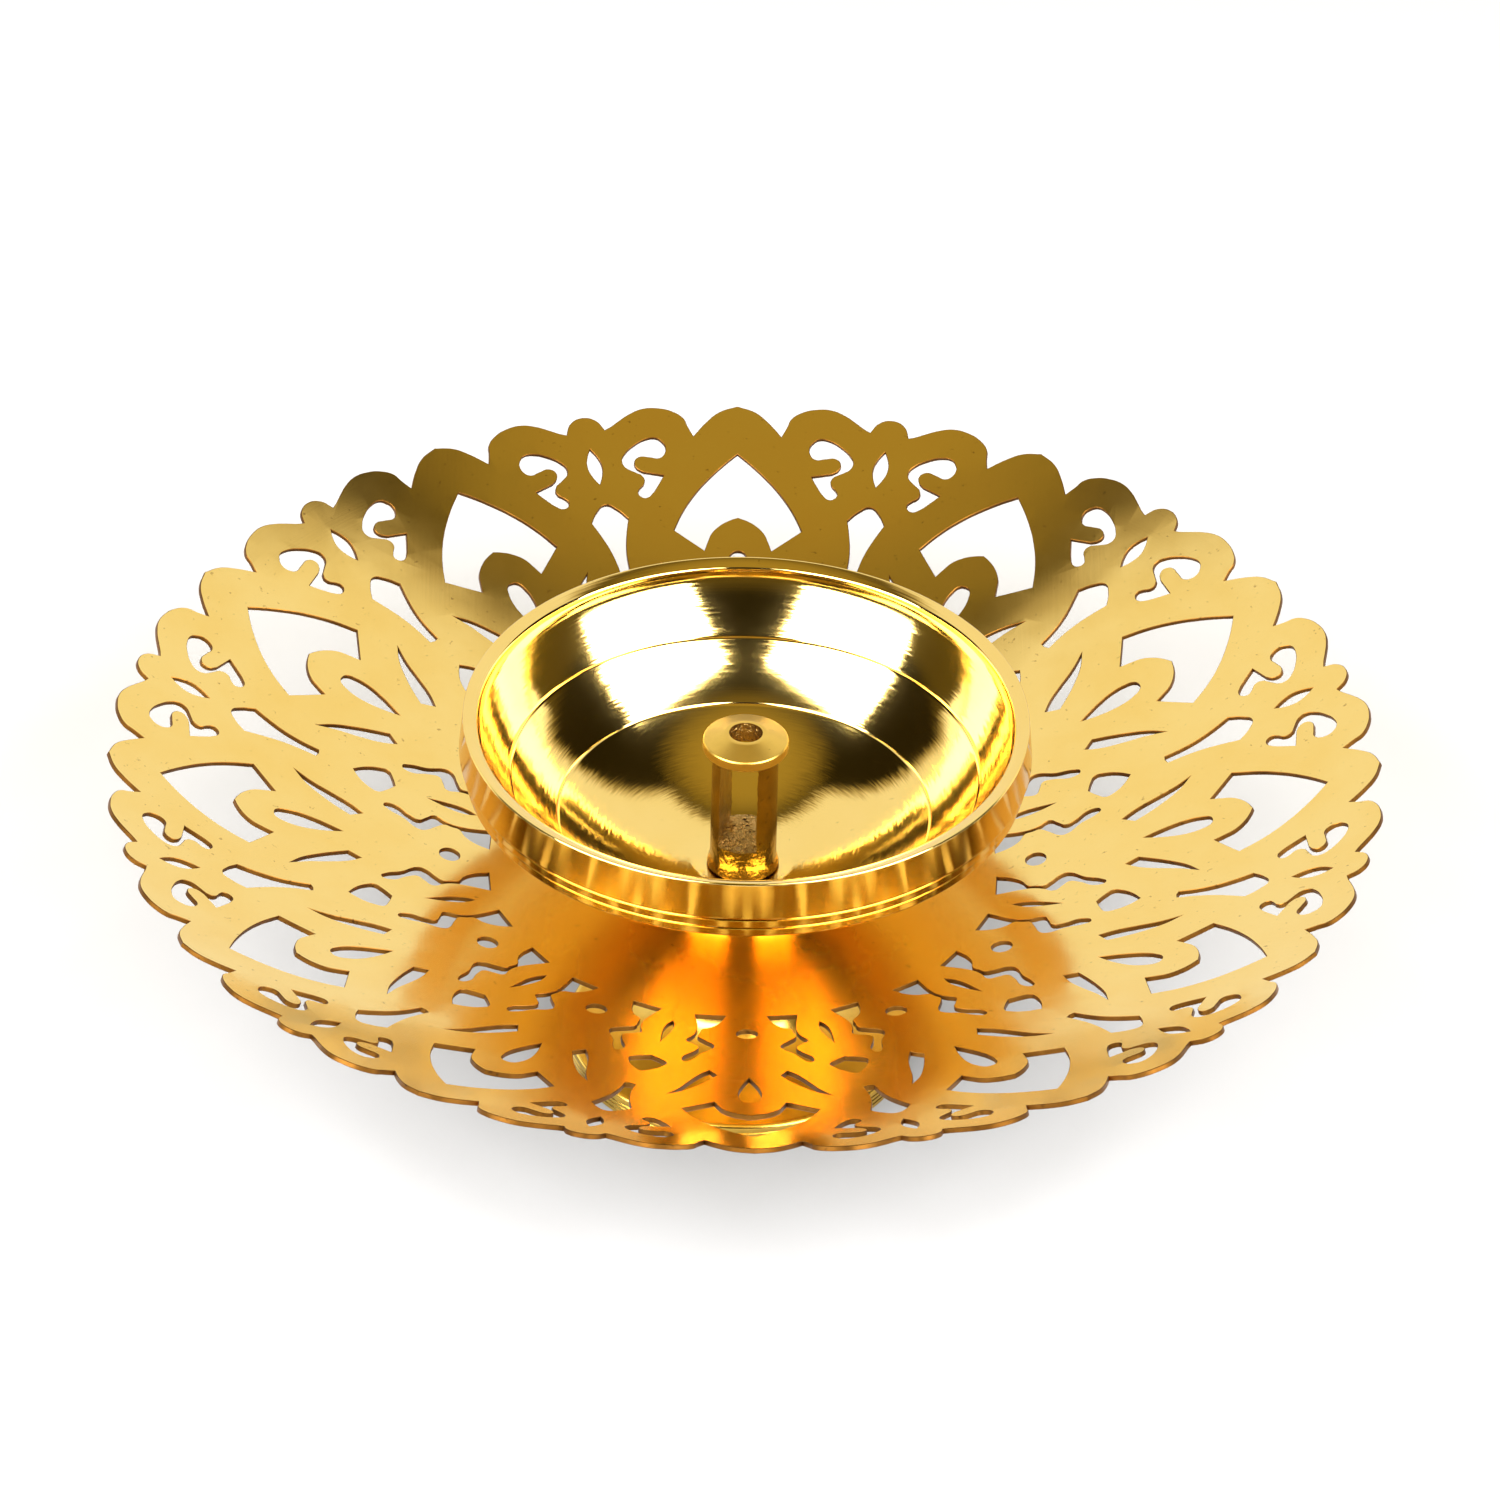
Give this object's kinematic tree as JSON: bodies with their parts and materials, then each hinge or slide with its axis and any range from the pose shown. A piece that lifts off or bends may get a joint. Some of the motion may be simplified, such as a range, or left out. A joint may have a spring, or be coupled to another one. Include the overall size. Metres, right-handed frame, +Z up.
{
  "type": "diya oil lamp",
  "caption": "Brass diya oil lamp: pierced lace-pattern dish on a flared turned foot, with a central oil bowl and a capped, slotted wick post that lifts out.",
  "frame": {"origin": "middle of the foot's ground ring, on the surface the lamp stands on", "axes": "+Z up along the lamp's turning axis, +Y to the back along the axis of a petal, +X to the right"},
  "size_m": [0.2, 0.2, 0.0637],
  "materials": {
    "sheet_brass": "satin, dished and sawn sheet with fine circular brushing",
    "polished_brass": "polished on the lathe",
    "cast_brass": "turned outside, as cast inside the slot",
    "turned_brass": "satin, turned",
    "plated_steel": "zinc plated"
  },
  "bodies": {
    "lamp_body": {"pedestal_foot": "turned_brass", "clamp_nut": "plated_steel", "clamp_washer": "plated_steel", "jali_plate": "sheet_brass", "oil_bowl": "polished_brass"},
    "wick_holder": {"wick_post": "cast_brass"}
  },
  "joints": [
    {"name": "wick_post_lift", "type": "slide", "parent": "lamp_body", "child": "wick_holder", "axis": [0, 0, 1], "range_m": [0, 0.035]}
  ]
}
